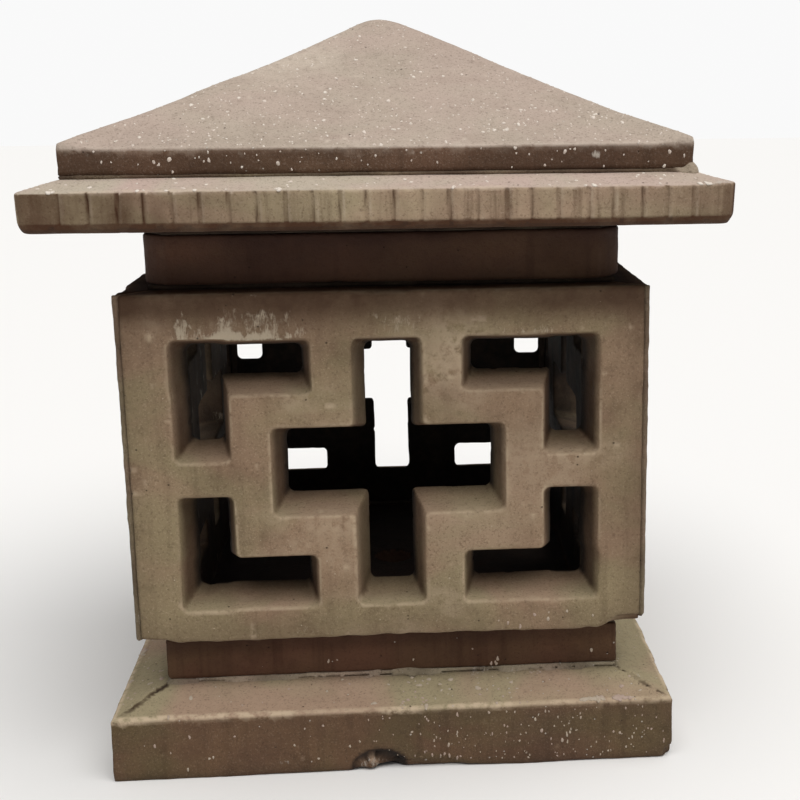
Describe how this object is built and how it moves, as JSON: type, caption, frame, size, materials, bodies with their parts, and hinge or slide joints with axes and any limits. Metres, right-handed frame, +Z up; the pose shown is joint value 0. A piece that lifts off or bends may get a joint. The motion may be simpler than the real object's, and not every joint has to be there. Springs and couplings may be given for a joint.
{
  "type": "garden lantern",
  "caption": "Square precast garden lantern: moulded plinth, hollow fretwork body open on four sides, and a lift-off roof with fluted eave and pyramid cap.",
  "frame": {"origin": "centre of the ground slab's underside", "axes": "+Z up, +X to the right and -Y towards the viewer seen from the front panel; the four sides are alike"},
  "size_m": [0.6, 0.6, 0.6955],
  "materials": {
    "panel_concrete": "matte cast, khaki grey, salt bloom and small pits",
    "slab_concrete": "matte cast, weathered, pale specks and a rubbed arris",
    "plinth_concrete": "matte cast, damp dark brown",
    "eave_concrete": "matte cast, combed flutes, weathered",
    "cap_concrete": "matte trowelled, weathered, pale specks",
    "mortar": "rough struck mortar"
  },
  "bodies": {
    "body": {"ground_slab": "slab_concrete", "plinth_bed": "mortar", "plinth_block": "plinth_concrete", "body_bed": "mortar", "front_panel": "panel_concrete", "right_panel": "panel_concrete", "rear_panel": "panel_concrete", "left_panel": "panel_concrete", "corner_joint_front_left": "mortar", "corner_joint_front_right": "mortar", "corner_joint_rear_right": "mortar", "corner_joint_rear_left": "mortar", "top_bed": "mortar"},
    "roof": {"collar": "plinth_concrete", "eave_bed": "mortar", "eave_slab": "eave_concrete", "cap_bed": "mortar", "roof_cap": "cap_concrete"}
  },
  "joints": [
    {"name": "roof_lift", "type": "slide", "parent": "body", "child": "roof", "axis": [0, 0, 1], "range_m": [0, 0.25]}
  ]
}
